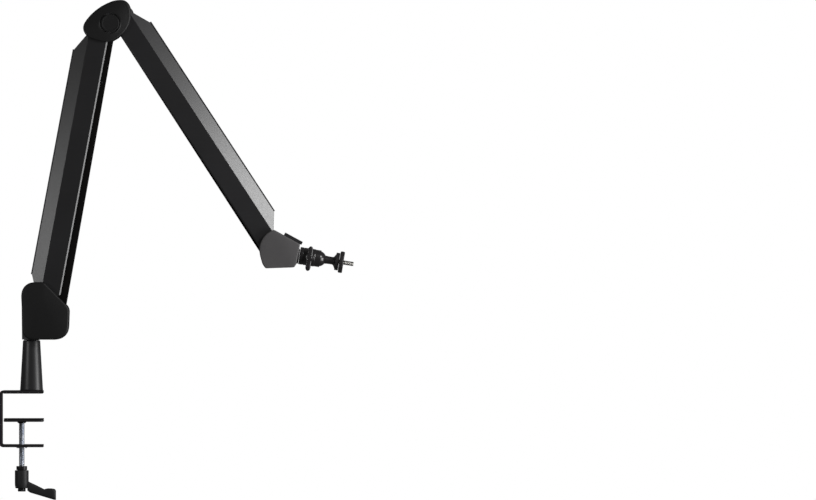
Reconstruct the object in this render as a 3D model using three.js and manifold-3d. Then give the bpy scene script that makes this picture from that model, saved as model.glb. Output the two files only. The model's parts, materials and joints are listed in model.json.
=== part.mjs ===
// Spring-balanced microphone boom arm on a desk clamp.
//
// Units are millimetres. X points along the arm's reach, Y to the rear, Z up. The origin lies on the
// desk face of the top jaw, under the axis of the post. The arm folds in the X-Z plane.

import * as THREE from "three";
import { mergeVertices } from "three/addons/utils/BufferGeometryUtils.js";
import Module from "manifold-3d";

const wasm = await Module();
wasm.setup();

// ---------------------------------------------------------------- driving dimensions

const GAP = 0.3; // between fixed pieces that touch
const FILM = 0.05; // between thin sheets laid on each other
const RUN = 0.15; // radial clearance of a pin that turns in a hole
const rad = THREE.MathUtils.degToRad;

const ARM_PITCH = 370; // pivot to pivot, both arms
const LOWER_ANGLE = 79.45; // from +X, anticlockwise seen from the front
const UPPER_ANGLE = -56.8;

const BASE_PIVOT = [17.9, 123.4];
const ELBOW_BRIDGE = [38.3, 17.6]; // from the lower arm's elbow pivot to the upper arm's
const LOWER_CRANK = [19.05, -11]; // from a main pivot to the link pivot beside it
const UPPER_CRANK = [-8.6, -12.3];

// channel section, u measured outward from the pivot line
const CHANNEL = { half: 17, wall: 2, skirt: -19.2, shoulder: 7.2, crest: 23.2, crestHalf: 9.5, floor: 9 };
const SKIRT_CHAMFER = { across: 1.2, up: 1.8 }; // along the outer bottom edges of the channel
const HUB_R = 12.2;
const LINK = { half: 13, wall: 1.6, flange: 4.5, bare: 14 }; // bare: end length without a web, for a lug
const SPRING = { r: 5.5, pinR: 2, eyeR: 1.2, eye: 3, lead: 12, taper: 4, near: [62, 1], fromEnd: 70 };

// layers across the knuckles, measured from the middle plane
const CHEEK = [18.2, 20.8];
const COVER = [21.1, 26];
const COVER_SKIN = 2;
const TONGUE = 10.5; // half width of the lugs that carry the link pins, between the link's flanges
const BOLT_R = 4;
const LINK_PIN = { r: 3, half: 14 };
const BOLT_HEAD = { r: 5.4, t: 2.4 };
const CAP = { at: [105.3, 493.4], r: 12.4, t: 2, stubR: 3.5, edge: 0.6 }; // disc in the elbow's front cover

const CLAMP = { left: -42.5, right: 15.6, bottom: -71.4, strip: 3.6, width: 50, bend: 5, pad: 0.55 };
const NUT = { r: 5.7, flangeR: 7, flange: 1.3 };
const POST_SCREW = { r: 4, headR: 7.4, face: 0.8, rim: 1.1, neck: 3.95, top: 25 };
const JAW = { left: -36.7, right: 16.1, top: -33.1, plate: 2.9, pad: 1.6, width: 46 };
const RETAINER = { r: 6.2, t: 1.85 };
const SCREW = { x: -13.1, r: 4, top: -38, collar: -96.8 };

// clamping lever: a hub over a toothed insert, held up by a spring on the screw below it
const HUB = { top: -102.4, bottom: -126.4, r: 9.25 };
const INSERT = { r: 5.4, bottom: -116, flangeR: 7.2, flange: 5.3 };
const LEVER_SCREW = { r: 2, headR: 5.2, top: -116.3, shoulder: -126, bottom: -130.7 };
const LEVER_SPRING = { r: 4.6, wire: 1.2 };
const WELL = { r: 5.6, top: -119 }; // bore from below for the lever's screw and spring

const POST = { bottom: 4.25, top: 70.9, footR: 15.4, neckR: 11.5, edge: 1 };
const BORE = { screwR: 4.2, screwTop: 27, spigotBottom: 31, bushingR: 8.1, bushingBottom: 50 };
const SPIGOT = { r: 6, bottom: 33, headR: 9, head: 3 };
const TRAY = { left: -12.1, right: 48, wall: 2.6, top: 92 }; // between the cheeks of the base knuckle

// ball mount, places measured along its axis from the head
const MOUNT = { x: 356.6, z: 184, tilt: -9 };
const BALL = { at: 26.2, r: 10.4 };
const SOCKET = { r: 11.6, start: 0.6, floor: 6, lip: 28.8, mouthR: 11, edge: 0.5 };
const WING = { at: 14.3, half: 3.5, reach: [-18.5, 14.5], corner: 3.2, blade: [-18.6, -14.2] };
const WING_HUB = { r: 5.5, from: -19.4, to: -11.9 };
const WING_SHANK = { r: 2.5, end: -8 };
const STEM = { rootR: 5.4, r: 5, taper: 44, neck: 46.5, flangeR: 11.7, flange: [48.9, 53.9] };
const STUD = { r: 3.175, from: 46.7, to: 73.5 };
const DISC = { r: 14.4, from: 54.2, to: 60 };

// ---------------------------------------------------------------- points worked out from them

const along = (origin, angle, s, u = 0) => [
  origin[0] + s * Math.cos(rad(angle)) - u * Math.sin(rad(angle)),
  origin[1] + s * Math.sin(rad(angle)) + u * Math.cos(rad(angle)),
];
const plus = (a, b) => [a[0] + b[0], a[1] + b[1]];

const ELBOW_LOWER = along(BASE_PIVOT, LOWER_ANGLE, ARM_PITCH);
const ELBOW_UPPER = plus(ELBOW_LOWER, ELBOW_BRIDGE);
const HEAD_PIVOT = along(ELBOW_UPPER, UPPER_ANGLE, ARM_PITCH);
const BASE_LINK = plus(BASE_PIVOT, LOWER_CRANK);
const ELBOW_LOWER_LINK = plus(ELBOW_LOWER, LOWER_CRANK);
const ELBOW_UPPER_LINK = plus(ELBOW_UPPER, UPPER_CRANK);
const HEAD_LINK = plus(HEAD_PIVOT, UPPER_CRANK);
const ELBOW_MIDDLE = plus(ELBOW_LOWER, [ELBOW_BRIDGE[0] / 2, ELBOW_BRIDGE[1] / 2]);

// a crank seen in its arm's own frame: [along the arm, outward]
function crankInArm(crank, angle) {
  const c = Math.cos(rad(angle));
  const s = Math.sin(rad(angle));
  return [crank[0] * c + crank[1] * s, -crank[0] * s + crank[1] * c];
}

// ---------------------------------------------------------------- materials

const finish = (color, roughness, metalness) =>
  new THREE.MeshStandardMaterial({ color, roughness, metalness });
const MAT = {
  anodised: finish(0x26262a, 0.42, 0.8),
  steel: finish(0x222226, 0.5, 0.5),
  casting: finish(0x2a2a2d, 0.6, 0.4),
  shell: finish(0x1f1f21, 0.65, 0),
  headShell: finish(0x464547, 0.7, 0),
  rubber: finish(0x141414, 0.9, 0),
  zinc: finish(0xb8bcc8, 0.3, 1),
  spring: finish(0x8c8f94, 0.35, 1),
  gloss: finish(0x0c0c0d, 0.15, 0.6),
  nylon: finish(0x1a1a1a, 0.6, 0),
};

// ---------------------------------------------------------------- outlines

const V2 = (x, y) => new THREE.Vector2(x, y);

function arc(cx, cy, r, from, to, steps) {
  return Array.from({ length: steps + 1 }, (_, i) => {
    const a = rad(from + ((to - from) * i) / steps);
    return V2(cx + r * Math.cos(a), cy + r * Math.sin(a));
  });
}

const circle = ([x, y], r, sides = 16) => arc(x, y, r, 0, 360, sides).slice(0, -1);

// closed outline through corners [x, y, radius], each rounded by its radius
function rounded(corners, steps = 4) {
  const points = [];
  corners.forEach(([x, y, r], i) => {
    const corner = V2(x, y);
    if (!r) {
      points.push(corner);
      return;
    }
    const before = corners.at(i - 1);
    const after = corners[(i + 1) % corners.length];
    const back = V2(before[0] - x, before[1] - y).normalize();
    const ahead = V2(after[0] - x, after[1] - y).normalize();
    const half = Math.acos(back.dot(ahead)) / 2;
    const bisector = back.clone().add(ahead).normalize();
    const centre = corner.clone().addScaledVector(bisector, r / Math.sin(half));
    const start = corner.clone().addScaledVector(back, r / Math.tan(half)).sub(centre);
    const end = corner.clone().addScaledVector(ahead, r / Math.tan(half)).sub(centre);
    const sweep = Math.atan2(start.cross(end), start.dot(end));
    for (let k = 0; k <= steps; k += 1) {
      points.push(start.clone().rotateAround(V2(0, 0), (sweep * k) / steps).add(centre));
    }
  });
  return points;
}

// closed smooth outline through a few points
function smooth(points, steps = 30) {
  const curve = new THREE.CatmullRomCurve3(
    points.map(([x, y]) => new THREE.Vector3(x, y, 0)),
    true,
    "centripetal",
  );
  return curve.getPoints(steps).slice(0, -1).map((p) => V2(p.x, p.y));
}

function shrunk(points, by) {
  const middle = points.reduce((sum, p) => sum.add(p), V2(0, 0)).divideScalar(points.length);
  const size = points.reduce((sum, p) => sum + p.distanceTo(middle), 0) / points.length;
  return points.map((p) => p.clone().sub(middle).multiplyScalar(1 - by / size).add(middle));
}

const corners = (list) => list.map(([x, y]) => V2(x, y));

// ---------------------------------------------------------------- solids

const UNIT = {
  x: new THREE.Vector3(1, 0, 0),
  y: new THREE.Vector3(0, 1, 0),
  z: new THREE.Vector3(0, 0, 1),
};

// merged vertices, no empty triangles, faces outward
function closed(geometry) {
  geometry.deleteAttribute("normal");
  geometry.deleteAttribute("uv");
  const merged = mergeVertices(geometry, 1e-4);
  const at = merged.attributes.position;
  const corner = [0, 1, 2].map(() => new THREE.Vector3());
  const kept = [];
  let volume = 0;
  for (let i = 0; i < merged.index.count; i += 3) {
    const face = [0, 1, 2].map((k) => merged.index.getX(i + k));
    if (new Set(face).size === 3) {
      kept.push(face);
      face.forEach((v, k) => corner[k].fromBufferAttribute(at, v));
      volume += corner[0].dot(corner[1].clone().cross(corner[2]));
    }
  }
  merged.setIndex(kept.flatMap((face) => (volume < 0 ? face.reverse() : face)));
  return merged;
}

function toManifold(geometry) {
  const { attributes, index } = closed(geometry);
  return new wasm.Manifold(
    new wasm.Mesh({
      numProp: 3,
      vertProperties: new Float32Array(attributes.position.array),
      triVerts: new Uint32Array(index.array),
    }),
  );
}

function fromManifold(solid) {
  const mesh = solid.getMesh();
  const geometry = new THREE.BufferGeometry();
  geometry.setAttribute("position", new THREE.BufferAttribute(mesh.vertProperties, 3));
  geometry.setIndex(new THREE.BufferAttribute(mesh.triVerts, 1));
  return geometry;
}

const combine = (how) => (body, ...others) =>
  fromManifold(others.reduce((solid, other) => solid[how](toManifold(other)), toManifold(body)));
const join = combine("add");
const cut = combine("subtract");
const common = combine("intersect");

function extruded(outline, holes, depth) {
  const shape = new THREE.Shape(outline);
  shape.holes = holes.map((hole) => new THREE.Path(hole));
  return new THREE.ExtrudeGeometry(shape, { depth, bevelEnabled: false, curveSegments: 1 });
}

// X-Z outline with its faces at y0 and y1
function plate(outline, y0, y1, holes = []) {
  const basis = new THREE.Matrix4().makeBasis(UNIT.x, UNIT.z, UNIT.y.clone().negate());
  return extruded(outline, holes, y1 - y0).applyMatrix4(basis).translate(0, y1, 0);
}

// Y-Z section running along X from x0 to x1
function bar(section, x0, x1) {
  const basis = new THREE.Matrix4().makeBasis(UNIT.y, UNIT.z, UNIT.x);
  return extruded(section, [], x1 - x0).applyMatrix4(basis).translate(x0, 0, 0);
}

// X-Y outline with its faces at z0 and z1
const slab = (outline, z0, z1, holes = []) => extruded(outline, holes, z1 - z0).translate(0, 0, z0);

const TURN = {
  x: new THREE.Matrix4().makeRotationZ(-Math.PI / 2),
  y: new THREE.Matrix4(),
  z: new THREE.Matrix4().makeRotationX(Math.PI / 2),
};

// profile of [radius, place along the axis] turned about an axis through `at`
function turned(profile, axis, at = [0, 0], sides = 16) {
  const geometry = new THREE.LatheGeometry(corners(profile), sides).applyMatrix4(TURN[axis]);
  const place = { x: [0, 0, 0], y: [at[0], 0, at[1]], z: [at[0], at[1], 0] }[axis];
  return geometry.translate(...place);
}

const rod = (r, t0, t1, axis, at, sides) =>
  turned([[0, t0], [r, t0], [r, t1], [0, t1]], axis, at, sides);
const tube = (r0, r1, t0, t1, axis, at, sides) =>
  turned([[r0, t0], [r1, t0], [r1, t1], [r0, t1], [r0, t0]], axis, at, sides);

const rectangle = (x0, y0, x1, y1) => corners([[x0, y0], [x1, y0], [x1, y1], [x0, y1]]);
const box = (x0, x1, y0, y1, z0, z1) => slab(rectangle(x0, y0, x1, y1), z0, z1);

// ---------------------------------------------------------------- scene graph

const boom_arm = new THREE.Group();

function add(name, geometry, material, parent = boom_arm) {
  const mesh = new THREE.Mesh(closed(geometry), material);
  mesh.name = name;
  parent.add(mesh);
}

// group whose X axis runs along an arm and whose Z axis is the outward side
function frameAt([x, z], angle) {
  const group = new THREE.Group();
  group.position.set(x, 0, z);
  group.rotation.y = -rad(angle);
  boom_arm.add(group);
  return group;
}

// ---------------------------------------------------------------- clamp

function addClamp() {
  const { left, right, bottom, strip, width, bend, pad } = CLAMP;
  const top = pad + FILM + strip;
  const outer = rounded([
    [left, bottom, bend],
    [right, bottom, 0],
    [right, top, 0],
    [left, top, bend],
  ]);
  const inner = rounded([
    [left + strip, bottom + strip, bend - strip],
    [right + 1, bottom + strip, 0],
    [right + 1, top - strip, 0],
    [left + strip, top - strip, bend - strip],
  ]);
  const half = width / 2;
  const { r, headR, rim, neck } = POST_SCREW;
  const countersink = turned(
    [
      [0, 0],
      [headR + GAP, 0],
      [headR + GAP, rim],
      [r + GAP, neck],
      [r + GAP, top + 1],
      [0, top + 1],
    ],
    "z",
  );
  const frame = cut(
    plate(outer, -half, half),
    plate(inner, -half - 1, half + 1),
    rod(NUT.r + 0.2, bottom - 1, bottom + strip + 1, "z", [SCREW.x, 0]),
    countersink,
  );
  add("clamp_frame", frame, MAT.steel);
  add("top_jaw_pad", box(left + strip + 2, right - 0.5, 1 - half, half - 1, 0, pad), MAT.rubber);
}

function addClampScrews() {
  const bore = SCREW.r + RUN;
  const seat = CLAMP.bottom - 0.1;
  const top = CLAMP.bottom + CLAMP.strip;
  const nut = turned(
    [
      [bore, seat - NUT.flange],
      [NUT.flangeR, seat - NUT.flange],
      [NUT.flangeR, seat],
      [NUT.r, seat],
      [NUT.r, top],
      [bore, top],
      [bore, seat - NUT.flange],
    ],
    "z",
    [SCREW.x, 0],
  );
  add("clamp_nut", nut, MAT.zinc);
  add("clamp_screw", rod(SCREW.r, SCREW.collar + 0.1, SCREW.top, "z", [SCREW.x, 0]), MAT.zinc);

  const { r, headR, face, rim, neck, top: tip } = POST_SCREW;
  const post = [[0, face], [headR, face], [headR, rim], [r, neck], [r, tip], [0, tip]];
  add("post_screw", turned(post, "z"), MAT.zinc);
}

function addPressureJaw() {
  const { left, right, top, plate: thick, pad, width } = JAW;
  const half = width / 2;
  const face = top - pad - FILM;
  const under = face - thick;
  const collar = [under - FILM - RETAINER.t, under - FILM];
  add("pressure_pad", box(left, right, -half, half, top - pad, top), MAT.rubber);
  add("pressure_plate", box(left, right, -half, half, under, face), MAT.steel);
  add("screw_retainer", tube(SCREW.r + RUN, RETAINER.r, ...collar, "z", [SCREW.x, 0]), MAT.steel);
}

// ---------------------------------------------------------------- clamping lever

function addLeverHardware() {
  const at = [SCREW.x, 0];
  const { collar } = SCREW;
  const shoulder = collar - INSERT.flange;
  const insert = [
    [0, collar],
    [INSERT.flangeR, collar],
    [INSERT.flangeR, shoulder],
    [INSERT.r, shoulder],
    [INSERT.r, INSERT.bottom],
    [0, INSERT.bottom],
  ];
  add("lever_insert", turned(insert, "z", at), MAT.steel);

  const head = LEVER_SCREW;
  const screw = [
    [0, head.top],
    [head.r, head.top],
    [head.r, head.shoulder],
    [head.headR, head.shoulder],
    [head.headR, head.bottom],
    [0, head.bottom],
  ];
  add("lever_screw", turned(screw, "z", at), MAT.steel);

  const { r, wire } = LEVER_SPRING;
  const spring = tube(r - wire, r, head.shoulder + GAP, WELL.top - GAP, "z", at, 16);
  add("lever_spring", spring, MAT.spring);
}

function addLever() {
  const at = [SCREW.x, 0];
  const { top, bottom, r } = HUB;
  const handle = rounded([
    [-20, -126.8, 0],
    [32.5, -142.6, 1],
    [32.5, -129.8, 1.5],
    [30.4, -126.9, 2],
    [19.8, -126.3, 2],
    [17.6, -128.2, 1],
    [-4.9, -116.7, 0],
    [SCREW.x, -113.5, 0],
  ]);
  const hub = turned([[0, bottom], [r, bottom], [r, top], [0, top]], "z", at, 32);
  const lever = cut(
    join(hub, plate(handle, -6, 6)),
    rod(INSERT.r + GAP, INSERT.bottom - 1, top + 1, "z", at),
    rod(LEVER_SCREW.r + 0.4, WELL.top - 1, INSERT.bottom, "z", at),
    rod(WELL.r, -145, WELL.top, "z", at),
  );
  add("clamp_lever", lever, MAT.shell);
}

// ---------------------------------------------------------------- post

function addPost() {
  const { bottom, top, footR, neckR, edge } = POST;
  const { screwR, screwTop, spigotBottom, bushingR, bushingBottom } = BORE;
  const spigotR = SPIGOT.r + GAP;
  const post = [
    [0, screwTop],
    [screwR, screwTop],
    [screwR, bottom],
    [footR - edge, bottom],
    [footR, bottom + edge],
    [footR - 0.3, bottom + 4],
    [neckR, top - edge],
    [neckR - edge, top],
    [bushingR, top],
    [bushingR, bushingBottom],
    [spigotR, bushingBottom],
    [spigotR, spigotBottom],
    [0, spigotBottom],
  ];
  const bushing = tube(SPIGOT.r + RUN, bushingR - GAP, bushingBottom + GAP, top - 0.1, "z");
  add("base_post", turned(post, "z", [0, 0], 32), MAT.casting);
  add("post_bushing", bushing, MAT.nylon);
  add("thrust_washer", tube(spigotR, neckR - edge - FILM, top + RUN, top + 1, "z"), MAT.nylon);
}

// ---------------------------------------------------------------- knuckle hardware

// shoulder bolt from cheek to cheek, with its head in front and its nut behind, both under the covers
function addBolt(name, at) {
  const { r, t } = BOLT_HEAD;
  const outer = CHEEK[1] + 0.15;
  const bolt = [
    [0, -outer - t],
    [r, -outer - t],
    [r, -outer],
    [BOLT_R, -outer],
    [BOLT_R, outer + t],
    [0, outer + t],
  ];
  add(`${name}_bolt`, turned(bolt, "y", at), MAT.zinc);
  const hexagon = plate(circle(at, r + 0.6, 6), outer, outer + t);
  add(`${name}_nut`, cut(hexagon, rod(BOLT_R + RUN, outer - 1, outer + t + 1, "y", at)), MAT.zinc);
}

const addLinkPin = (name, at) =>
  add(name, rod(LINK_PIN.r, -LINK_PIN.half, LINK_PIN.half, "y", at), MAT.zinc);

const boltHole = (at) => circle(at, BOLT_R + RUN);
const pinHole = (at) => circle(at, LINK_PIN.r + RUN);

// the two cheeks of a knuckle
const cheeks = (outline, holes) => [
  plate(outline, -CHEEK[1], -CHEEK[0], holes),
  plate(outline, CHEEK[0], CHEEK[1], holes),
];

// lug of a knuckle that reaches out to a link pin from `root`, its left and right points there
function tongue(root, pin, r = 5.2) {
  const middle = V2((root[0][0] + root[1][0]) / 2, (root[0][1] + root[1][1]) / 2);
  const heading = THREE.MathUtils.radToDeg(Math.atan2(pin[1] - middle.y, pin[0] - middle.x));
  const tip = arc(pin[0], pin[1], r, heading - 90, heading + 90, 6);
  return plate([...corners(root), ...tip], -TONGUE, TONGUE, [pinHole(pin)]);
}

// dished cover, open towards its cheek; side is -1 for the front one and 1 for the rear one
function cover(outline, side) {
  const [inner, outer] = COVER;
  const hollow = plate(shrunk(outline, 2.4), inner - 1, outer - COVER_SKIN);
  const shell = cut(plate(outline, inner, outer), hollow);
  return side > 0 ? shell : shell.applyMatrix4(new THREE.Matrix4().makeScale(1, -1, 1));
}

function addCovers(name, outline, material, frontHole) {
  const front = cover(outline, -1);
  add(`${name}_cover_front`, frontHole ? cut(front, frontHole) : front, material);
  add(`${name}_cover_rear`, cover(outline, 1), material);
}

// ---------------------------------------------------------------- base knuckle

function addBase() {
  const floor = [POST.top + 1.15, POST.top + 7];
  const cheek = rounded([
    [-12.2, floor[0], 0],
    [48, floor[0], 16],
    [49.6, 113.6, 11],
    [17, 146.6, 4],
    [-13, 146.6, 16],
  ]);
  const { left, right, wall, top } = TRAY;
  const inner = CHEEK[0];
  const tray = cut(
    box(left, right, -inner - 1, inner + 1, floor[0], top),
    box(left + wall, right - wall, -inner, inner, floor[1], top + 1),
    rod(SPIGOT.r + RUN, floor[0] - 1, floor[1] + 1, "z"),
  );
  const lug = tongue([[28, floor[1] - 1], [44, floor[1] - 1]], BASE_LINK);
  const holed = cheeks(cheek, [boltHole(BASE_PIVOT)]);
  add("base_knuckle", join(...holed, common(tray, plate(cheek, -30, 30)), lug), MAT.casting);

  const { r, bottom, headR, head } = SPIGOT;
  const seat = floor[1] + 0.2;
  const spigot = [
    [0, bottom],
    [r, bottom],
    [r, seat],
    [headR, seat],
    [headR, seat + head],
    [0, seat + head],
  ];
  add("swivel_spigot", turned(spigot, "z"), MAT.zinc);

  const outline = rounded([
    [-10.8, 71.8, 12],
    [49.1, 71.8, 17],
    [50.7, 114.3, 12],
    [16.9, 148.6, 4],
    [-14, 148.6, 17],
  ]);
  addCovers("base", outline, MAT.shell);
  addBolt("base_pivot", BASE_PIVOT);
  addLinkPin("base_link_pin", BASE_LINK);
  [["front", -1], ["rear", 1]].forEach(([where, side]) => {
    const y = [side * (CHANNEL.half + 0.25), side * (CHEEK[0] - 0.25)].sort((a, b) => a - b);
    add(`base_washer_${where}`, tube(BOLT_R + RUN, 9, y[0], y[1], "y", BASE_PIVOT), MAT.nylon);
  });
}

// ---------------------------------------------------------------- arms

// outline of the channel seen from the side: panel with bevelled ends and a round hub at each pivot
function channelSide(start, end) {
  const { skirt, crest } = CHANNEL;
  const low = 5;
  const run = (bevel) => (crest - low) / Math.tan(rad(bevel.angle));
  return corners([
    [start.at, crest],
    [start.at - run(start), low],
    [0, 0],
    [12, skirt],
    [ARM_PITCH - 12, skirt],
    [ARM_PITCH, 0],
    [ARM_PITCH - end.at + run(end), low],
    [ARM_PITCH - end.at, crest],
  ]);
}

function channelSection() {
  const { half, wall, skirt, shoulder, crest, crestHalf, floor } = CHANNEL;
  const facet = V2(half - crestHalf, crest - shoulder);
  const across = (wall * facet.length()) / facet.y; // the facet's thickness measured along Y
  const innerAt = (u) => half - across - ((u - shoulder) * facet.x) / facet.y;
  const right = [
    [half - SKIRT_CHAMFER.across, skirt],
    [half, skirt + SKIRT_CHAMFER.up],
    [half, shoulder],
    [crestHalf, crest],
    [innerAt(crest), crest],
    [innerAt(floor), floor],
  ];
  const under = [[half - wall, floor - wall], [half - wall, skirt]];
  const mirror = (list) => list.map(([y, u]) => [-y, u]).reverse();
  return corners([...right, ...mirror(right), ...mirror(under), ...under]);
}

function addChannel(name, frame, start, end) {
  const reach = HUB_R + 1;
  const side = join(
    plate(channelSide(start, end), -20, 20),
    rod(HUB_R, -20, 20, "y", [0, 0], 32),
    rod(HUB_R, -20, 20, "y", [ARM_PITCH, 0], 32),
  );
  const channel = cut(
    common(bar(channelSection(), -reach, ARM_PITCH + reach), side),
    rod(BOLT_R + RUN, -20, 20, "y", [0, 0]),
    rod(BOLT_R + RUN, -20, 20, "y", [ARM_PITCH, 0]),
  );
  add(`${name}_arm_channel`, channel, MAT.anodised, frame);
}

// lid of the cable trough, with a tongue that drops between the trough's lips
function addTroughCover(name, frame, s0, s1) {
  const { crest, crestHalf } = CHANNEL;
  const base = crest + GAP;
  const half = crestHalf - 0.2;
  const tongue = crestHalf - 2.8;
  const section = corners([
    [-half, base],
    [-tongue, base],
    [-tongue, base - 2.5],
    [tongue, base - 2.5],
    [tongue, base],
    [half, base],
    [half, base + 1.3],
    [-half, base + 1.3],
  ]);
  add(`${name}_trough_cover`, bar(section, s0, s1), MAT.anodised, frame);
}

// parallelogram link: a channel nested in the arm, its web outermost and tapered along its length
function addLink(name, frame, crank, web) {
  const [s, u] = crank;
  const { half, wall, flange, bare } = LINK;
  const end = s + ARM_PITCH;
  const side = (inset) =>
    corners([
      [s, u + flange + inset],
      [s - 4 - inset, u + 2],
      [s - 4 - inset, u - 3 + inset],
      [s, u - web[0] + inset],
      [end, u - web[1] + inset],
      [end + 4 + inset, u - 3 + inset],
      [end + 4 + inset, u + 2],
      [end, u + flange + inset],
    ]);
  const inside = (outline) => plate(outline, wall - half, half - wall);
  const link = cut(
    plate(side(0), -half, half),
    inside(side(wall)),
    inside(rectangle(s - 9, u - 9, s + bare, u + 9)),
    inside(rectangle(end - bare, u - 9, end + 9, u + 9)),
    rod(LINK_PIN.r + RUN, -20, 20, "y", [s, u]),
    rod(LINK_PIN.r + RUN, -20, 20, "y", [end, u]),
    rod(SPRING.pinR + 0.1, -20, 20, "y", [ARM_PITCH - SPRING.fromEnd, u]),
  );
  add(`${name}_link`, link, MAT.steel, frame);
}

// balance spring between a pin across the channel and a pin across the link
function addSpring(name, frame, crank) {
  const { r, pinR, eyeR, eye, lead, taper, near, fromEnd } = SPRING;
  const far = [ARM_PITCH - fromEnd, crank[1]];
  const span = Math.hypot(far[0] - near[0], far[1] - near[1]);
  const inner = CHANNEL.half - CHANNEL.wall - 0.1;
  const reach = LINK.half - 0.1;
  add(`${name}_spring_pin`, rod(pinR, -inner, inner, "y", near), MAT.zinc, frame);
  add(`${name}_link_spring_pin`, rod(pinR, -reach, reach, "y", far), MAT.zinc, frame);

  const place = new THREE.Group();
  place.position.set(near[0], 0, near[1]);
  place.rotation.y = -Math.atan2(far[1] - near[1], far[0] - near[0]);
  frame.add(place);
  const half = [[0, eye], [eyeR, eye], [eyeR, lead], [r, lead + taper]];
  const mirrored = half.map(([radius, t]) => [radius, span - t]).reverse();
  add(`${name}_spring`, turned([...half, ...mirrored], "x", [0, 0], 12), MAT.spring, place);
}

function addArm(name, origin, angle, { crank, start, end, lid, web }) {
  const frame = frameAt(origin, angle);
  const local = crankInArm(crank, angle);
  addChannel(name, frame, start, end);
  addTroughCover(name, frame, lid[0], ARM_PITCH - lid[1]);
  addLink(name, frame, local, web);
  addSpring(name, frame, local);
}

// ---------------------------------------------------------------- elbow

function addElbow() {
  const outline = smooth([
    [69, 488],
    [75.3, 500],
    [90.5, 514],
    [107.6, 522.6],
    [116, 524.3],
    [123.6, 524.1],
    [129, 520.3],
    [132.2, 512.5],
    [131.8, 496],
    [123.7, 481.3],
    [107, 469],
    [90.5, 469.9],
    [73.5, 476.8],
  ]);
  const holes = [boltHole(ELBOW_LOWER), boltHole(ELBOW_UPPER)];
  const [x, z] = ELBOW_MIDDLE;
  const spacer = rod(5, -CHEEK[0] - 1, CHEEK[0] + 1, "y", ELBOW_MIDDLE);
  const plates = cheeks(shrunk(outline, 1.5), holes);
  const lugs = [
    tongue([[x + 5, z], [x - 5, z]], ELBOW_LOWER_LINK),
    tongue([[x + 1, z + 5], [x - 1, z - 5]], ELBOW_UPPER_LINK),
  ];
  add("elbow_frame", join(...plates, spacer, ...lugs), MAT.casting);

  const { at, r, t, stubR, edge } = CAP;
  const face = COVER[1] + 0.1;
  const foot = -CHEEK[1] - 0.2;
  const window = rod(r + 1.3, -face - 1, -COVER[0] - 1, "y", at, 32);
  addCovers("elbow", outline, MAT.shell, window);
  const cap = [
    [0, -face],
    [r - edge, -face],
    [r, edge - face],
    [r, t - face],
    [stubR, t - face],
    [stubR, foot],
    [0, foot],
  ];
  add("elbow_cap", turned(cap, "y", at, 32), MAT.shell);

  addBolt("elbow_lower", ELBOW_LOWER);
  addBolt("elbow_upper", ELBOW_UPPER);
  addLinkPin("elbow_lower_link_pin", ELBOW_LOWER_LINK);
  addLinkPin("elbow_upper_link_pin", ELBOW_UPPER_LINK);
}

// ---------------------------------------------------------------- head

const HEAD_TOP = { from: [323.2, 218.1], to: [357.9, 199.3] };
const HEAD_BLOCK = [342, 160, 370, 230]; // between the cheeks, before it's trimmed to the outline
const HEAD_TROUGH = { half: 7, depth: 6 };
const HEAD_LID = { from: 15, to: 41.5, rise: -0.25, t: 4.45, half: 16 };
const BOSS = { r: 11, depth: 8 }; // on the head block, under the socket

function headOutline() {
  return [
    ...arc(332.5, 191.3, 28.6, 109, 182, 8),
    ...corners([[304.8, 184], [307.9, 173], [312, 166.8], [349.9, 168.1], [353.2, 173.1], HEAD_TOP.to]),
  ];
}

function addHead() {
  const outline = headOutline();
  const { from, to } = HEAD_TOP;
  const slope = THREE.MathUtils.radToDeg(Math.atan2(to[1] - from[1], to[0] - from[0]));
  // strip laid along the sloping top, between two heights over it
  const onTop = (s0, u0, s1, u1) =>
    corners([[s0, u0], [s1, u0], [s1, u1], [s0, u1]].map(([s, u]) => along(from, slope, s, u)));
  const block = common(
    plate(rectangle(...HEAD_BLOCK), -CHEEK[0] - 1, CHEEK[0] + 1),
    plate(shrunk(outline, 0.4), -30, 30),
  );
  const trough = plate(onTop(0, -HEAD_TROUGH.depth, 60, 5), -HEAD_TROUGH.half, HEAD_TROUGH.half);
  const lug = tongue([[346, 171], [346, 181]], HEAD_LINK);
  const plates = cheeks(shrunk(outline, 1.2), [boltHole(HEAD_PIVOT)]);
  const boss = rod(BOSS.r, -BOSS.depth, SOCKET.start - GAP, "x", [0, 0], 32)
    .rotateY(-rad(MOUNT.tilt))
    .translate(MOUNT.x, 0, MOUNT.z);
  add("head_block", cut(join(...plates, block, boss, lug), trough), MAT.casting);

  addCovers("head", outline, MAT.headShell);
  addBolt("head_pivot", HEAD_PIVOT);
  addLinkPin("head_link_pin", HEAD_LINK);

  const { rise, t, half } = HEAD_LID;
  const lid = onTop(HEAD_LID.from, rise, HEAD_LID.to, rise + t);
  add("head_trough_lid", plate(lid, -half, half), MAT.anodised);
}

// ---------------------------------------------------------------- ball mount

function addBallJoint(frame) {
  const { at, r } = BALL;
  const seat = r + GAP;
  const seatR = (place) => Math.sqrt(seat ** 2 - (place - at) ** 2);
  const { start, floor, lip, mouthR, edge } = SOCKET;
  const rim = SOCKET.r;
  const socket = turned(
    [
      [0, start],
      [rim - edge, start],
      [rim, start + edge],
      [rim, lip - 1.2],
      [mouthR, lip],
      ...[lip, at + 0.8, at - 1.5, at - 4, at - 7].map((place) => [seatR(place), place]),
      [seatR(at - 7), floor],
      [0, floor],
    ],
    "x",
    [0, 0],
    24,
  );
  const wingHole = rod(WING_SHANK.r + GAP, -12, -5, "y", [WING.at, 0]);
  add("ball_socket", cut(socket, wingHole), MAT.gloss, frame);

  const steps = 12;
  const ball = Array.from({ length: steps + 1 }, (_, i) => {
    const a = -Math.PI / 2 + (Math.PI * i) / steps;
    return [i % steps ? r * Math.cos(a) : 0, at + r * Math.sin(a)];
  });
  add("mount_ball", turned(ball, "x", [0, 0], 24), MAT.gloss, frame);
}

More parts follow.
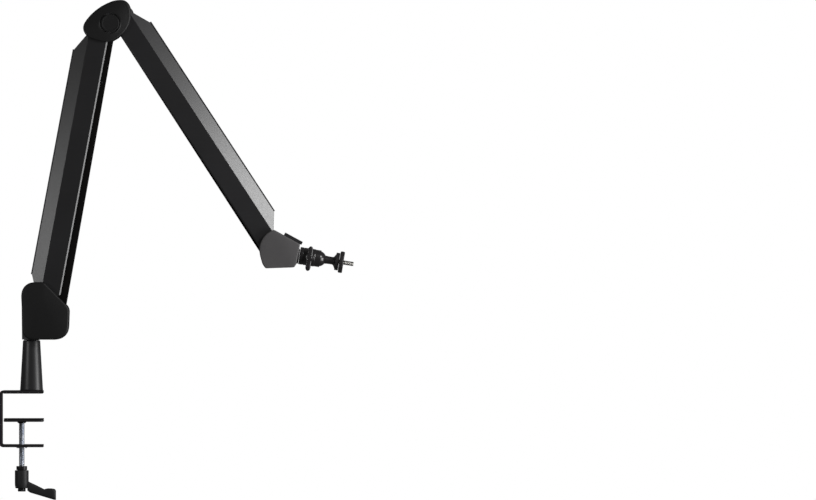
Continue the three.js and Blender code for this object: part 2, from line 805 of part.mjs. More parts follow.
function addWingScrew(frame) {
  const { at, half, corner, blade } = WING;
  const [low, high] = WING.reach;
  const outline = rounded(
    [
      [-half, low, corner],
      [half, low, corner],
      [half, high, corner],
      [-half, high, corner],
    ],
    3,
  );
  const wing = join(
    plate(outline, ...blade),
    rod(WING_HUB.r, WING_HUB.from, WING_HUB.to, "y"),
    rod(WING_SHANK.r, WING_HUB.to - 0.2, WING_SHANK.end, "y"),
  );
  add("wing_screw", wing.translate(at, 0, 0), MAT.gloss, frame);
}

function addStem(frame) {
  const { rootR, r, taper, neck, flangeR, flange } = STEM;
  const seat = BALL.r + GAP;
  const cup = [0, 0.4, 0.7, 1].map((part) => part * rootR);
  const bore = STUD.r + 0.225;
  const stem = turned(
    [
      ...cup.map((across) => [across, BALL.at + Math.sqrt(seat ** 2 - across ** 2)]),
      [r, taper],
      [r, neck],
      [flangeR - 2, flange[0]],
      [flangeR, flange[0]],
      [flangeR, flange[1]],
      [bore, flange[1]],
      [bore, neck],
      [0, neck],
    ],
    "x",
  );
  add("mount_stem", stem, MAT.gloss, frame);
  add("mic_stud", rod(STUD.r, STUD.from, STUD.to, "x"), MAT.zinc, frame);
  const disc = tube(STUD.r + RUN, DISC.r, DISC.from, DISC.to, "x", [0, 0], 32);
  add("lock_disc", disc, MAT.gloss, frame);
}

function addMount() {
  const frame = frameAt([MOUNT.x, MOUNT.z], MOUNT.tilt);
  addBallJoint(frame);
  addWingScrew(frame);
  addStem(frame);
}

// ---------------------------------------------------------------- assembly

addClamp();
addClampScrews();
addPressureJaw();
addLeverHardware();
addLever();
addPost();
addBase();
addArm("lower", BASE_PIVOT, LOWER_ANGLE, {
  crank: LOWER_CRANK,
  start: { at: 31, angle: 24 },
  end: { at: 33.5, angle: 30.5 },
  lid: [31.7, 33.3],
  web: [8.2, 5.1],
});
addElbow();
addArm("upper", ELBOW_UPPER, UPPER_ANGLE, {
  crank: UPPER_CRANK,
  start: { at: 27.5, angle: 27 },
  end: { at: 41.5, angle: 35 },
  lid: [26.8, 41.6],
  web: [5.8, 8.2],
});
addHead();
addMount();

export default boom_arm;
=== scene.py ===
"""Looks of the spring-balanced microphone boom arm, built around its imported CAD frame.

Lengths are in millimetres until a mesh is made, in the CAD's own frame: X along the reach, Y to the
rear, Z up, from the desk face of the clamp.
"""

import json
import math

import bmesh
import bpy
from mathutils import Matrix, Vector


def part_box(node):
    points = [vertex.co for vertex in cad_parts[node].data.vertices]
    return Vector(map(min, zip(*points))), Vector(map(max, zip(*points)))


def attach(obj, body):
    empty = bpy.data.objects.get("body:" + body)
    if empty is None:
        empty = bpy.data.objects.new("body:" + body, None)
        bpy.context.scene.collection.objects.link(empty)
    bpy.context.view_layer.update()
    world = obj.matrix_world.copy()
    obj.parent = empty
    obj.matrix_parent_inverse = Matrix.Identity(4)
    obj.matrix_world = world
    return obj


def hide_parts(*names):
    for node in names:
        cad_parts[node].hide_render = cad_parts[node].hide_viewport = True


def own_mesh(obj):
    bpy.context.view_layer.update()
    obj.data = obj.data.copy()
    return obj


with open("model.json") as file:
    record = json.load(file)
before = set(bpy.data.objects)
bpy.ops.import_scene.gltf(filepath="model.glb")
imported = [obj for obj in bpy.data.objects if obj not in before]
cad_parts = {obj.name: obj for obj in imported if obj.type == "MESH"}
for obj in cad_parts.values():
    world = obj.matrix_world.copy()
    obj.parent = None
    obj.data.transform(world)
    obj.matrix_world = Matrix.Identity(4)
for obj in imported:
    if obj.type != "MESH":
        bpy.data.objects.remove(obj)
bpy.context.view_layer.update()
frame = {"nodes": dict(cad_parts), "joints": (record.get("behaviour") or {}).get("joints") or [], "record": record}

MM = 0.001
JOINTS = {joint["name"]: joint for joint in frame["joints"]}
RIGHT, REAR, UP = Vector((1, 0, 0)), Vector((0, 1, 0)), Vector((0, 0, 1))


def pivot(joint):
    """A joint's point, in mm."""
    return Vector(JOINTS[joint]["pos_m"]) / MM


def box(node):
    """A CAD node's lowest and highest corners, in mm."""
    low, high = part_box(node)
    return low / MM, high / MM


# ------------------------------------------------------------------ camera, light and floor

FRAME_WIDTH = 1.088
FRAME_CENTRE = Vector((0.5019, 0, 0.1913))
LENS, SENSOR = 600, 36


def add_camera():
    data = bpy.data.cameras.new("camera")
    data.lens, data.sensor_width = LENS, SENSOR
    camera = bpy.data.objects.new("camera", data)
    camera.location = FRAME_CENTRE - REAR * (FRAME_WIDTH * LENS / SENSOR)
    camera.rotation_euler = (math.radians(90), 0, 0)
    bpy.context.scene.collection.objects.link(camera)
    bpy.context.scene.camera = camera


def add_softbox(name, centre, aim, size, power):
    """White area light of (width, height) metres, turned to a point."""
    data = bpy.data.lights.new(name, "AREA")
    data.shape = "RECTANGLE"
    data.size, data.size_y = size
    data.energy = power
    light = bpy.data.objects.new(name, data)
    light.location = centre
    light.rotation_mode = "QUATERNION"
    light.rotation_quaternion = (Vector(aim) - Vector(centre)).to_track_quat("-Z", "Y")
    light.visible_camera = False
    bpy.context.scene.collection.objects.link(light)


def add_world(backdrop, fill):
    """White behind the object, and a dimmer white all round it for fill."""
    world = bpy.data.worlds.new("studio")
    world.use_nodes = True
    tree = world.node_tree
    background = tree.nodes["Background"]
    seen = tree.nodes.new("ShaderNodeLightPath")
    strength = tree.nodes.new("ShaderNodeMapRange")
    strength.inputs["To Min"].default_value = fill
    strength.inputs["To Max"].default_value = backdrop
    tree.links.new(seen.outputs["Is Camera Ray"], strength.inputs["Value"])
    tree.links.new(strength.outputs["Result"], background.inputs["Strength"])
    background.inputs["Color"].default_value = (1, 1, 1, 1)
    bpy.context.scene.world = world


def add_floor(z, half, material, glow):
    """Pale floor that glows for the camera only, so it throws no light on the object."""
    shader = material.node_tree.nodes["Principled BSDF"]
    shader.inputs["Emission Color"].default_value = (1, 1, 1, 1)
    shader.inputs["Emission Strength"].default_value = glow
    bm = bmesh.new()
    corners = [(-half, -half), (half, -half), (half, half), (-half, half)]
    bm.faces.new([bm.verts.new((x, y, z)) for x, y in corners])
    mesh = bpy.data.meshes.new("floor")
    bm.to_mesh(mesh)
    bm.free()
    mesh.materials.append(material)
    floor = bpy.data.objects.new("floor", mesh)
    floor.visible_diffuse = floor.visible_glossy = False
    bpy.context.scene.collection.objects.link(floor)


# ------------------------------------------------------------------ materials


def surface(
    name,
    colour,
    roughness,
    metallic=0.0,
    tint=0.12,
    cloud=28,
    grain=2200,
    bump=0.05,
    stretch=(1, 1, 1),
    turn=0.0,
    ior=1.5,
    coat=0.0,
    second=None,
):
    """Procedural material: cloudy colour and roughness, with a fine grain in the normals.

    cloud and grain are features per metre. stretch and turn lay the grain along an arm.
    """
    material = bpy.data.materials.new(name)
    material.use_nodes = True
    nodes, links = material.node_tree.nodes, material.node_tree.links
    shader = nodes["Principled BSDF"]
    shader.inputs["Metallic"].default_value = metallic
    shader.inputs["IOR"].default_value = ior
    shader.inputs["Coat Weight"].default_value = coat
    shader.inputs["Coat Roughness"].default_value = 0.06

    place = nodes.new("ShaderNodeTexCoord")
    lay = nodes.new("ShaderNodeMapping")
    lay.inputs["Rotation"].default_value = (0, turn, 0)
    lay.inputs["Scale"].default_value = stretch
    links.new(place.outputs["Object"], lay.inputs["Vector"])

    clouds = nodes.new("ShaderNodeTexNoise")
    clouds.inputs["Scale"].default_value = cloud
    clouds.inputs["Detail"].default_value = 5
    links.new(place.outputs["Object"], clouds.inputs["Vector"])
    grains = nodes.new("ShaderNodeTexNoise")
    grains.inputs["Scale"].default_value = grain
    grains.inputs["Detail"].default_value = 3
    links.new(lay.outputs["Vector"], grains.inputs["Vector"])

    ramp = nodes.new("ShaderNodeValToRGB")
    low, high = ramp.color_ramp.elements
    low.position, high.position = 0.3, 0.7
    low.color = (*[c * (1 - tint) for c in colour], 1)
    high.color = (*[c * (1 + tint) for c in second or colour], 1)
    links.new(clouds.outputs["Fac"], ramp.inputs["Fac"])
    links.new(ramp.outputs["Color"], shader.inputs["Base Color"])

    polish = nodes.new("ShaderNodeMapRange")
    polish.inputs["From Min"].default_value = 0.25
    polish.inputs["From Max"].default_value = 0.75
    polish.inputs["To Min"].default_value = roughness * 0.9
    polish.inputs["To Max"].default_value = roughness * 1.1
    links.new(grains.outputs["Fac"], polish.inputs["Value"])
    links.new(polish.outputs["Result"], shader.inputs["Roughness"])

    relief = nodes.new("ShaderNodeBump")
    relief.inputs["Strength"].default_value = bump
    relief.inputs["Distance"].default_value = 0.0002
    links.new(grains.outputs["Fac"], relief.inputs["Height"])
    links.new(relief.outputs["Normal"], shader.inputs["Normal"])
    return material


def arm_turn(arm_joint, far_joint):
    """Angle about Y that turns an arm's line onto X."""
    line = pivot(far_joint) - pivot(arm_joint)
    return math.atan2(line.z, line.x)


LOWER_TURN = arm_turn("lower_arm_pitch", "elbow_level")
UPPER_TURN = arm_turn("upper_arm_pitch", "head_level")
ALONG = (0.02, 1, 1)

MATERIAL = {
    "clamp_steel": surface("clamp_powder_coat", (0.022, 0.020, 0.022), 0.45, grain=1600, bump=0.25),
    "rubber_pad": surface("rubber", (0.008, 0.0075, 0.008), 0.75, grain=1200, bump=0.3),
    "zinc_screw": surface(
        "blue_zinc", (0.78, 0.84, 0.95), 0.42, metallic=1, cloud=90, second=(0.84, 0.86, 0.9), tint=0.08
    ),
    "lever_plastic": surface("lever_nylon", (0.026, 0.026, 0.027), 0.5, grain=1500, bump=0.35),
    "lever_steel": surface("black_oxide", (0.022, 0.022, 0.024), 0.38, metallic=0.4, grain=1500),
    "post_metal": surface("post_anodised", (0.034, 0.033, 0.035), 0.38, ior=1.6, grain=1800),
    "nylon": surface("nylon", (0.024, 0.024, 0.024), 0.55, grain=1200, bump=0.15),
    "knuckle_casting": surface("knuckle_anodised", (0.10, 0.10, 0.103), 0.36, ior=1.8, grain=1400, bump=0.2),
    "pivot_steel": surface("pivot_black_oxide", (0.025, 0.025, 0.027), 0.35, metallic=0.4, grain=1500),
    "cover_plastic": surface("cover_grained_plastic", (0.011, 0.0108, 0.0112), 0.5, grain=1700, bump=0.5),
    "head_casting": surface("head_powder_coat", (0.09, 0.087, 0.089), 0.5, grain=1500, bump=0.3),
    "head_plastic": surface("head_grained_plastic", (0.10, 0.096, 0.098), 0.55, grain=1700, bump=0.5),
    "link_aluminium": surface(
        "link_matt_black", (0.004, 0.0034, 0.0032), 0.7, ior=1.25, grain=1500, bump=0.2
    ),
    "spring_steel": surface("spring_wire", (0.30, 0.30, 0.31), 0.3, metallic=1, grain=1500),
    "mount_black": surface("mount_gloss_black", (0.022, 0.020, 0.021), 0.3, coat=0.6, grain=900, bump=0.03),
    "stud_steel": surface("stud_steel", (0.62, 0.61, 0.58), 0.28, metallic=1, grain=1500),
}
for arm, turn in (("lower", LOWER_TURN), ("upper", UPPER_TURN)):
    MATERIAL[f"{arm}_arm"] = surface(
        f"{arm}_arm_anodised",
        (0.018, 0.0175, 0.019),
        0.34,
        ior=1.8,
        grain=1300,
        bump=0.06,
        stretch=ALONG,
        turn=turn,
    )

SLOT_OF = {part["node"]: part["material_slot"] for part in frame["record"]["subparts"]}
BODY_OF = {node: body for body, nodes in frame["record"]["behaviour"]["bodies"].items() for node in nodes}


def material_for(node):
    """The arms and their covers have a grain of their own; the rest goes by slot."""
    slot = SLOT_OF[node]
    if slot in ("arm_aluminium", "trough_cover_aluminium"):
        return MATERIAL["upper_arm" if node.startswith("upper") else "lower_arm"]
    return MATERIAL[slot]


# ------------------------------------------------------------------ mesh tools

IDENTITY = Matrix.Identity(4)


def frame_at(origin, axis, across):
    """Local frame whose Z is the axis and whose X leans towards `across`."""
    z = Vector(axis).normalized()
    x = Vector(across)
    x = (x - z * x.dot(z)).normalized()
    turn = Matrix((x, z.cross(x), z)).transposed().to_4x4()
    return Matrix.Translation(origin) @ turn


def bridge(bm, low, high):
    """Faces between two rings, either of which may be a single point."""
    count = max(len(low), len(high))
    for i in range(count):
        j = (i + 1) % count
        corners = [low[i % len(low)], low[j % len(low)], high[j % len(high)], high[i % len(high)]]
        distinct = list(dict.fromkeys(corners))
        if len(distinct) > 2:
            bm.faces.new(distinct)


def add_rings(bm, rings, place=IDENTITY, loop=False):
    """Skin over rings of points in mm, closed at its ends, or on itself if loop is set."""
    rows = [[bm.verts.new((place @ Vector(p)) * MM) for p in ring] for ring in rings]
    for low, high in zip(rows, rows[1:]):
        bridge(bm, low, high)
    if loop:
        bridge(bm, rows[-1], rows[0])
    else:
        for end in (rows[0], rows[-1]):
            if len(end) > 2:
                bm.faces.new(end)


def finish_piece(bm, name, nodes, sharp=33, body=None):
    """Turns a mesh into a piece that stands for CAD nodes, on their body and with their material.

    A piece given a body of its own is the far end of something that already stands for the nodes.
    """
    bmesh.ops.recalc_face_normals(bm, faces=bm.faces)
    mesh = bpy.data.meshes.new(name)
    bm.to_mesh(mesh)
    bm.free()
    mesh.shade_smooth()
    mesh.set_sharp_from_angle(angle=math.radians(sharp))
    mesh.materials.append(material_for(nodes[0]))
    piece = bpy.data.objects.new(name, mesh)
    bpy.context.scene.collection.objects.link(piece)
    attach(piece, body or BODY_OF[nodes[0]])
    if not body:
        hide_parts(*nodes)
    return piece


def skin(name, nodes, rings, place=IDENTITY, loop=False, sharp=33):
    bm = bmesh.new()
    add_rings(bm, rings, place, loop)
    return finish_piece(bm, name, nodes, sharp)


def eased(points, closed=False, steps=4):
    """Outline through (a, b) or (a, b, size) points, with a curve of that size in place of a corner."""
    path = []
    for i, point in enumerate(points):
        corner = Vector(point[:2])
        if len(point) == 2 or (not closed and i in (0, len(points) - 1)):
            path.append(corner)
            continue
        ends = [Vector(points[k % len(points)][:2]) for k in (i - 1, i + 1)]
        start, stop = [corner + (end - corner).normalized() * point[2] for end in ends]
        for k in range(steps + 1):
            t = k / steps
            path.append(start * (1 - t) ** 2 + corner * 2 * t * (1 - t) + stop * t * t)
    return path


def ring_angles(count):
    return [2 * math.pi * i / count for i in range(count)]


def circle(radius, t, sides, ripple=None):
    """Ring about the local Z axis; ripple(radius, angle) gives the radius in each direction."""
    if radius == 0:
        return [(0, 0, t)]
    ring = []
    for angle in ring_angles(sides):
        r = ripple(radius, angle) if ripple else radius
        ring.append((r * math.cos(angle), r * math.sin(angle), t))
    return ring


def turned(profile, sides=72, closed=False, ripple=None):
    """Rings of a profile of (radius, place) or (radius, place, corner size) about the local Z axis."""
    return [circle(max(p[0], 0), p[1], sides, ripple) for p in eased(profile, closed)]


def hull(node):
    """Convex outline of a CAD node seen from the front, as (x, z) in mm, anticlockwise."""
    vertices = frame["nodes"][node].data.vertices
    points = sorted({(round(v.co.x / MM, 3), round(v.co.z / MM, 3)) for v in vertices})

    def chain(order):
        kept = []
        for p in order:
            while len(kept) > 1:
                (ax, az), (bx, bz) = kept[-2], kept[-1]
                if (bx - ax) * (p[1] - az) - (bz - az) * (p[0] - ax) > 0:
                    break
                kept.pop()
            kept.append(p)
        return kept[:-1]

    return [Vector(p) for p in chain(points) + chain(points[::-1])]


def inset_reach(outline, centre, inset, rays):
    """How far rays from the centre go before they meet a convex outline moved inwards."""
    sides = []
    for a, b in zip(outline, outline[1:] + outline[:1]):
        normal = Vector((b.y - a.y, a.x - b.x)).normalized()
        sides.append((normal, normal.dot(a - centre)))
    reach = []
    for angle in ring_angles(rays):
        ray = Vector((math.cos(angle), math.sin(angle)))
        reach.append(min((h - inset) / ray.dot(n) for n, h in sides if ray.dot(n) > 1e-3))
    return [(reach[i - 1] + 2 * r + reach[(i + 1) % rays]) / 4 for i, r in enumerate(reach)]


# ------------------------------------------------------------------ covers of the knuckles

SKIN = 2.0  # of a cover
RAYS = 160  # points round a cover
EDGE_STEPS = 6


def add_cover(node, centre, hole=0.0, edge=2.6, dome=0.7):
    """Moulded cover: a domed face with a rounded edge, and a hollow behind it."""
    low, high = box(node)
    side = 1 if low.y > 0 else -1
    rim, face = sorted((abs(low.y), abs(high.y)))
    outline = hull(node)
    brow = face - dome

    def ring(reach, heights):
        return [
            (centre.x + r * math.cos(angle), side * height, centre.y + r * math.sin(angle))
            for r, height, angle in zip(reach, heights, ring_angles(RAYS))
        ]

    def flat_ring(reach, height):
        return ring(reach, [height] * RAYS)

    def inset(by):
        return inset_reach(outline, centre, by, RAYS)

    hollow = ((3.2, face - SKIN), (2.5, face - SKIN - 0.8), (2.4, rim), (0.4, rim), (0, rim + 0.4))
    rings = [flat_ring(inset(by), height) for by, height in hollow]
    for step in range(EDGE_STEPS + 1):
        a = math.radians(90 * step / EDGE_STEPS)
        rings.append(flat_ring(inset(edge * (1 - math.cos(a))), brow - edge * (1 - math.sin(a))))
    brim = inset(edge)
    shares = (0.9, 0.75, 0.55, 0.35, 0.15, 0) if hole else (0.9, 0.75, 0.55, 0.35, 0.15)
    for share in shares:
        reach = [(hole + 0.5 if hole else 0) * (1 - share) + r * share for r in brim]
        rings.append(ring(reach, [brow + dome * (1 - (a / b) ** 2) for a, b in zip(reach, brim)]))
    if hole:
        rings += [flat_ring([hole] * RAYS, face - 0.7), flat_ring([hole] * RAYS, face - SKIN)]
    else:
        rings.append([(centre.x, side * face, centre.y)])
        rings.insert(0, [(centre.x, side * (face - SKIN), centre.y)])
    skin(f"{node}_moulding", [node], rings, loop=bool(hole), sharp=40)


def outline_middle(node):
    low, high = box(node)
    return Vector(((low.x + high.x) / 2, (low.z + high.z) / 2))


CAP_MIDDLE = outline_middle("elbow_cap")
CAP_R, CAP_HOLE = 12.0, 13.8
for where in ("front", "rear"):
    add_cover(f"base_cover_{where}", outline_middle(f"base_cover_{where}"), edge=2.4, dome=2.0)
    add_cover(f"head_cover_{where}", outline_middle(f"head_cover_{where}"), edge=1.5, dome=0.5)
    elbow_hole = CAP_HOLE if where == "front" else 0
    add_cover(f"elbow_cover_{where}", CAP_MIDDLE, hole=elbow_hole, edge=2.2, dome=2.3)


def add_elbow_cap():
    """Plain dished disc in the elbow's front cover, with an open groove round it."""
    low, high = box("elbow_cap")
    face, back = -low.y, -high.y
    profile = [
        (0, back),
        (3.5, back),
        (3.5, face - 2),
        (CAP_R, face - 2, 0.3),
        (CAP_R, face - 0.1, 0.7),
        (CAP_R - 1.6, face - 0.1, 0.4),
        (CAP_R - 2.4, face - 0.35, 0.4),
        (0, face - 0.35),
    ]
    place = frame_at((CAP_MIDDLE.x, 0, CAP_MIDDLE.y), -REAR, RIGHT)
    skin("elbow_cap_disc", ["elbow_cap"], turned(profile, 96), place)


add_elbow_cap()

# ------------------------------------------------------------------ clamp and post


def rounded_slab(node, corner, edge, steps=4):
    """A CAD plate in X and Y with rounded corners and edges."""
    low, high = box(node)

    def ring(inset, z):
        x0, x1, y0, y1 = low.x + inset, high.x - inset, low.y + inset, high.y - inset
        cut = max(corner - inset, 0.1)
        plan = [(x0, y0, cut), (x1, y0, cut), (x1, y1, cut), (x0, y1, cut)]
        return [(p.x, p.y, z) for p in eased(plan, closed=True, steps=6)]

    turns = [math.radians(90 * k / steps) for k in range(steps + 1)]
    lower = [ring(edge * (1 - math.sin(a)), low.z + edge * (1 - math.cos(a))) for a in turns]
    upper = [ring(edge * (1 - math.cos(a)), high.z - edge * (1 - math.sin(a))) for a in turns]
    skin(f"{node}_sheet", [node], lower + upper)


rounded_slab("pressure_plate", corner=5, edge=0.9)
rounded_slab("pressure_pad", corner=5, edge=0.5)
rounded_slab("top_jaw_pad", corner=3, edge=0.15)

SCREW_FOOT, SCREW_TOP = box("clamp_screw")
SCREW_PLACE = Matrix.Translation(((SCREW_FOOT.x + SCREW_TOP.x) / 2, 0, 0))
SCREW_THREAD = {"radius": 4.0, "depth": 0.72, "pitch": 1.25}  # M8
STUD_THREAD = {"radius": 3.175, "depth": 0.6, "pitch": 1.27}  # 1/4 inch, 20 turns to the inch


def thread_rings(radius, depth, pitch, z0, z1, sides=28, rows=8):
    """Rings of a screw thread; the groove climbs one pitch a turn and fades at both ends."""
    rings = [[(0, 0, z0)]]
    count = round((z1 - z0) / pitch * rows)
    for k in range(count + 1):
        z = z0 + (z1 - z0) * k / count
        fade = min(1, (z - z0) / pitch, (z1 - z) / pitch)
        ring = []
        for i, angle in enumerate(ring_angles(sides)):
            phase = ((z - z0) / pitch - i / sides) % 1
            groove = min(1, max(0, 1.25 - 2.5 * abs(phase - 0.5)))
            r = radius - depth * (groove if fade >= 1 else 1 - fade * (1 - groove))
            ring.append((r * math.cos(angle), r * math.sin(angle), z))
        rings.append(ring)
    rings.append([(0, 0, z1)])
    return rings


def add_clamp_screw():
    rings = thread_rings(**SCREW_THREAD, z0=SCREW_FOOT.z, z1=SCREW_TOP.z)
    skin("clamp_screw_thread", ["clamp_screw"], rings, SCREW_PLACE, sharp=60)


add_clamp_screw()


def add_retainer():
    """Flared collar that holds the screw under the pressure plate."""
    low, high = box("screw_retainer")
    profile = [(4.2, high.z), (6.2, high.z), (6.1, high.z - 0.5, 0.3), (4.7, low.z, 0.3), (4.2, low.z)]
    skin("screw_retainer_collar", ["screw_retainer"], turned(profile), SCREW_PLACE, loop=True)


def add_nut():
    low, high = box("clamp_nut")
    rim = low.z + 1.3
    profile = [
        (4.15, low.z, 0.3),
        (7, low.z, 0.5),
        (7, rim, 0.2),
        (5.7, rim),
        (5.7, high.z),
        (4.15, high.z),
    ]
    skin("clamp_nut_collar", ["clamp_nut"], turned(profile, closed=True), SCREW_PLACE, loop=True)


def add_post():
    """Tapered post with a rounded foot and shoulder, bored for the spigot and the screw."""
    low, high = box("base_post")
    foot, top = low.z, high.z
    profile = [
        (0, 27),
        (4.2, 27),
        (4.2, foot),
        (15.4, foot, 0.9),
        (15.05, foot + 4.2, 0.8),
        (11.5, top, 1.4),
        (8.1, top, 0.3),
        (8.1, 50),
        (6.3, 50),
        (6.3, 31),
        (0, 31),
    ]
    skin("base_post_turning", ["base_post"], turned(profile, 96))


add_retainer()
add_nut()
add_post()

# ------------------------------------------------------------------ clamping lever


def add_lever():
    """Moulded lever: a bored hub and a flat handle that swells at its end."""
    hub_x = SCREW_PLACE.translation.x
    top = box("clamp_lever")[1].z
    hub = [
        (5.7, top, 0.3),
        (9.25, top, 0.8),
        (9.25, top - 19, 2),
        (8.5, top - 24, 1),
        (5.6, top - 24, 0.3),
        (5.6, top - 16.6),
        (2.4, top - 16.6),
        (2.4, top - 14.6),
        (5.7, top - 14.6),
    ]
    bm = bmesh.new()
    add_rings(bm, turned(hub, 64, closed=True), SCREW_PLACE, loop=True)
    # stations along the handle: x, upper edge, lower edge, half thickness
    stations = [
        (hub_x + 7.6, -116.4, -129.6, 5.4),
        (-2, -118.4, -132.2, 5.4),
        (6, -122.1, -134.6, 5.1),
        (12, -125.1, -136.4, 4.9),
        (17, -127.7, -137.9, 4.9),
        (19.2, -126.9, -138.6, 5.1),
        (22, -126.4, -139.4, 5.3),
        (27, -126.6, -140.9, 5.5),
        (30.4, -127.1, -141.9, 5.4),
        (31.8, -128.1, -142.1, 4.8),
        (32.5, -129.6, -141.4, 3.6),
    ]
    rings = []
    for x, upper, lower, half in stations:
        middle, tall = (upper + lower) / 2, (upper - lower) / 2
        ring = []
        for angle in ring_angles(32):
            flat = [math.copysign(abs(f(angle)) ** 0.45, f(angle)) for f in (math.cos, math.sin)]
            ring.append((x, half * flat[0], middle + tall * flat[1]))
        rings.append(ring)
    add_rings(bm, rings)
    finish_piece(bm, "clamp_lever_moulding", ["clamp_lever"], sharp=40)


def add_lever_hardware():
    low, high = box("lever_insert")
    insert = [
        (0, low.z),
        (5.4, low.z, 0.3),
        (5.4, high.z - 5.3),
        (7.2, high.z - 5.3, 0.4),
        (7.2, high.z, 0.7),
        (4.1, high.z, 0.3),
        (4.1, high.z - 1),
        (0, high.z - 1),
    ]
    skin("lever_insert_turning", ["lever_insert"], turned(insert), SCREW_PLACE)
    low, high = box("lever_screw")
    screw = [
        (0, high.z),
        (2, high.z, 0.3),
        (2, -126),
        (5.2, -126, 0.2),
        (5.2, low.z, 0.7),
        (2.6, low.z, 0.2),
        (2.6, low.z + 2),
        (0, low.z + 2.4),
    ]
    skin("lever_screw_turning", ["lever_screw"], turned(screw, 48), SCREW_PLACE)


add_lever()
add_lever_hardware()

# ------------------------------------------------------------------ springs


def tube_rings(path, radius, sides=7):
    """Rings of a round wire along a path of points in mm."""
    rings = []
    side = None
    for i, point in enumerate(path):
        ahead = (path[min(i + 1, len(path) - 1)] - path[max(i - 1, 0)]).normalized()
        side = ahead.orthogonal() if side is None else side - ahead * side.dot(ahead)
        side.normalize()
        up = ahead.cross(side)
        rings.append([point + (side * math.cos(a) + up * math.sin(a)) * radius for a in ring_angles(sides)])
    return rings


def coil_path(start, stop, across, radius, turns, lead, steps=14):
    """Straight lead, helix and straight lead between two points, the helix starting on the side `across`."""
    line = stop - start
    length = line.length
    place = frame_at(start, line, across)
    path = [place @ Vector((0, 0, 0))]
    count = turns * steps
    for k in range(count + 1):
        share = k / count
        angle = 2 * math.pi * turns * share
        r = radius * min(1, share * turns, (1 - share) * turns)
        height = lead + (length - 2 * lead) * share
        path.append(place @ Vector((r * math.cos(angle), r * math.sin(angle), height)))
    path.append(place @ Vector((0, 0, length)))
    return path


def add_coil(name, node, path, wire, body=None):
    bm = bmesh.new()
    add_rings(bm, tube_rings(path, wire))
    return finish_piece(bm, name, [node], sharp=60, body=body)


def add_arm_spring(arm, radius=5.5, wire=0.7, turns=70, lead=12, share=0.55):
    """Balance spring in two halves, one on the arm and one on the link, which slide through each other.

    The link shifts along the arm as the arm pitches, so each half keeps hold of its own pin. Where they
    overlap, the turns of one lie between the turns of the other.
    """
    near, far = middle_of(f"{arm}_spring_pin"), middle_of(f"{arm}_link_spring_pin")
    eye = (far - near).normalized() * 2.6
    ends = (near + eye, far - eye)
    halves = (("near", ends, REAR, None), ("far", ends[::-1], -REAR, f"{arm}_link"))
    for half, (start, stop), across, body in halves:
        path = coil_path(start, stop, across, radius - wire, turns, lead)
        kept = path[: round(share * len(path))]
        add_coil(f"{arm}_spring_{half}_coil", f"{arm}_spring", kept, wire, body)


def middle_of(node):
    low, high = box(node)
    return (low + high) / 2


def add_lever_spring(radius=4.6, wire=0.6, turns=3):
    """Spring round the screw at the lever, which the lever presses flatter, towards the screw's head, when it's
    pulled down; built here as one fixed coil.
    """
    low, high = box("lever_spring")
    bottom, top = (SCREW_PLACE @ Vector((0, 0, z)) for z in (low.z + wire, high.z - wire))
    path = coil_path(bottom, top, REAR, radius - wire, turns, lead=0)
    coil = add_coil("lever_spring_coil", "lever_spring", path[1:-1], wire)
    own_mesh(coil)


for arm in ("lower", "upper"):
    add_arm_spring(arm)
add_lever_spring()

# ------------------------------------------------------------------ ball mount

MOUNT_AXIS = Vector(JOINTS["ball_turn"]["axis"])
BALL_AT = 26.2
MOUNT_PLACE = frame_at(pivot("ball_tilt") - MOUNT_AXIS * BALL_AT, MOUNT_AXIS, -REAR)
BALL_R = 10.4


def arc_profile(radius, place, start, stop, steps):
    """Profile points of a sphere about a place on the axis, by angle from its equator."""
    angles = [math.radians(start + (stop - start) * k / steps) for k in range(steps + 1)]
    return [(radius * math.cos(a), place + radius * math.sin(a)) for a in angles]


def add_socket():
    lip, seat = BALL_AT + 2.6, BALL_R + 0.3
    opening = math.degrees(math.asin(2.6 / seat))
    floor_r = seat * math.cos(math.radians(46))
    profile = [
        (0, 0.6),
        (11.6, 0.6, 0.6),
        (11.6, 5.4, 0.3),
        (11.1, 5.7),
        (11.1, 6.3),
        (11.6, 6.6, 0.3),
        (11.6, 21, 0.4),
        (11.2, 21.6, 0.3),
        (11.2, lip, 0.3),
        *arc_profile(seat, BALL_AT, opening, -46, 10),
        (floor_r, 6),
        (0, 6),
    ]
    skin("ball_socket_turning", ["ball_socket"], turned(profile, 80), MOUNT_PLACE)


def add_ball():
    profile = arc_profile(BALL_R, BALL_AT, -90, 90, 28)
    profile = [(0, BALL_AT - BALL_R), *profile[1:-1], (0, BALL_AT + BALL_R)]
    skin("mount_ball_turning", ["mount_ball"], turned(profile, 80), MOUNT_PLACE)


def add_stem():
    """Neck from the ball to the flange that the microphone's lock disc closes on."""
    profile = [
        *arc_profile(BALL_R + 0.1, BALL_AT, 90, 59, 6),
        (5.1, 39.7, 1),
        (5, 44.2, 1.2),
        (5.3, 46.2, 0.8),
        (9.5, 48.9, 0.5),
        (11.7, 49.2, 0.5),
        (11.7, 53.9, 0.6),
        (3.4, 53.9, 0.3),
        (3.4, 46.5),
        (0, 46.5),
    ]
    skin("mount_stem_turning", ["mount_stem"], turned(profile), MOUNT_PLACE)


def add_lock_disc():
    """Thumb wheel with a knurled rim."""
    teeth = 36
    profile = [
        (3.33, 54.2, 0.2),
        (13.5, 54.2, 0.5),
        (14.4, 55.1, 0.4),
        (14.4, 59.2, 0.4),
        (13.6, 60, 0.4),
        (3.33, 60, 0.2),
    ]

    def knurl(radius, angle):
        groove = 0.26 * (0.5 + 0.5 * math.cos(teeth * angle)) ** 2
        return radius - groove if radius > 11 else radius

    rings = turned(profile, teeth * 6, closed=True, ripple=knurl)
    skin("lock_disc_wheel", ["lock_disc"], rings, MOUNT_PLACE, loop=True, sharp=50)


def add_stud():
    rings = thread_rings(**STUD_THREAD, z0=46.7, z1=73.5, sides=24)
    skin("mic_stud_thread", ["mic_stud"], rings, MOUNT_PLACE, sharp=60)


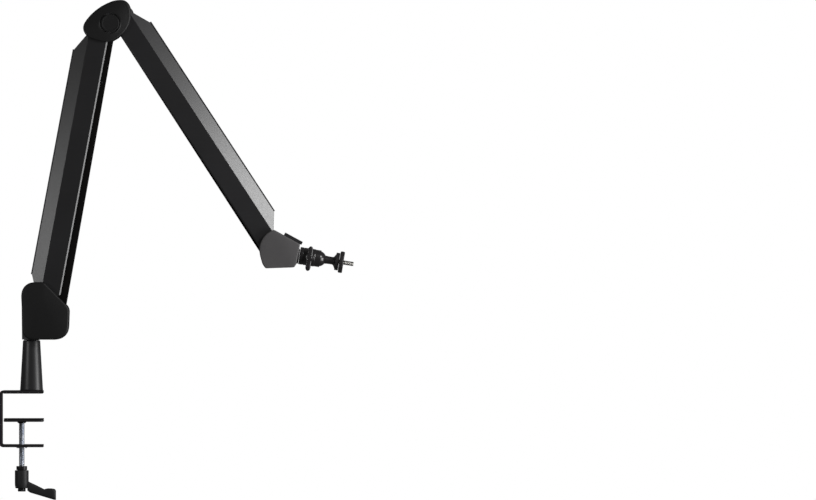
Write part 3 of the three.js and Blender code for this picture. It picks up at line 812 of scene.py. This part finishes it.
def add_wing_screw():
    """Thumb screw of the ball's lock: a ringed hub, two blades and a shank, all facing the front."""
    origin = MOUNT_PLACE @ Vector((0, 0, 14.3))
    upward = MOUNT_AXIS.cross(REAR)
    place = frame_at(origin, -REAR, upward)
    bm = bmesh.new()
    hub = [
        (0, 8),
        (2.5, 8),
        (2.5, 11.9),
        (5.5, 11.9, 0.3),
        (5.5, 19, 0.6),
        (4.4, 19.4, 0.3),
        (3.9, 18.9, 0.2),
        (3.1, 18.9, 0.2),
        (2.6, 19.3, 0.3),
        (0, 19.3),
    ]
    add_rings(bm, turned(hub, 56), place)
    for side, tip in ((-1, 18.5), (1, 14.5)):
        # stations out along a blade: reach, half width, front face, rear face
        stations = [
            (3, 3.4, 18.7, 13.9),
            (tip - 7, 3.5, 18.6, 14.2),
            (tip - 4, 3.4, 18.4, 14.4),
            (tip - 1.9, 2.8, 18.1, 14.7),
            (tip - 0.6, 1.8, 17.6, 15.1),
            (tip, 0.7, 17.1, 15.7),
        ]
        rings = []
        for reach, half, front, rear in stations:
            middle, thick = (front + rear) / 2, (front - rear) / 2
            ring = []
            for angle in ring_angles(24):
                flat = [math.copysign(abs(f(angle)) ** 0.6, f(angle)) for f in (math.cos, math.sin)]
                ring.append((side * reach, half * flat[0], middle + thick * flat[1]))
            rings.append(ring)
        add_rings(bm, rings, place)
    finish_piece(bm, "wing_screw_moulding", ["wing_screw"], sharp=45)


for make in (add_socket, add_ball, add_stem, add_lock_disc, add_stud, add_wing_screw):
    make()

# ------------------------------------------------------------------ CAD nodes that stay


def refine(node, edge=0.4, segments=2):
    """A CAD node with softened edges and its own material."""
    piece = frame["nodes"][node]
    piece.data.materials.clear()
    piece.data.materials.append(material_for(node))
    weld = piece.modifiers.new("weld", "WELD")
    weld.merge_threshold = 1e-6
    flat = piece.modifiers.new("flat", "DECIMATE")
    flat.decimate_type = "DISSOLVE"
    flat.angle_limit = math.radians(1)
    bevel = piece.modifiers.new("bevel", "BEVEL")
    bevel.width = edge * MM
    bevel.segments = segments
    bevel.limit_method = "ANGLE"
    bevel.angle_limit = math.radians(28)
    bevel.harden_normals = True
    return piece


for name, node in frame["nodes"].items():
    if not node.hide_render:
        refine(name, edge=0.3 if name.endswith("channel") else 0.4)

# ------------------------------------------------------------------ stage

HEAD_END, ARM_FOOT, POST = (0.30, 0, 0.22), (0.02, 0, 0.15), (0, 0, 0.04)  # what the lights aim at

add_camera()
add_world(backdrop=1.0, fill=0.075)
add_softbox("right_softbox", (0.847, -0.542, 0.577), HEAD_END, (0.235, 0.235), 2.8)
add_softbox("left_softbox", (-0.73, -0.66, 0.28), ARM_FOOT, (0.30, 0.30), 1.2)
add_softbox("side_softbox", (1.2, -0.47, 0.03), POST, (0.55, 0.6), 6.0)
add_floor(-0.45, 4, surface("pale_floor", (0.8, 0.8, 0.8), 0.7, grain=40, cloud=2, tint=0.01), glow=0.6)
bpy.context.scene.view_settings.view_transform = "Standard"
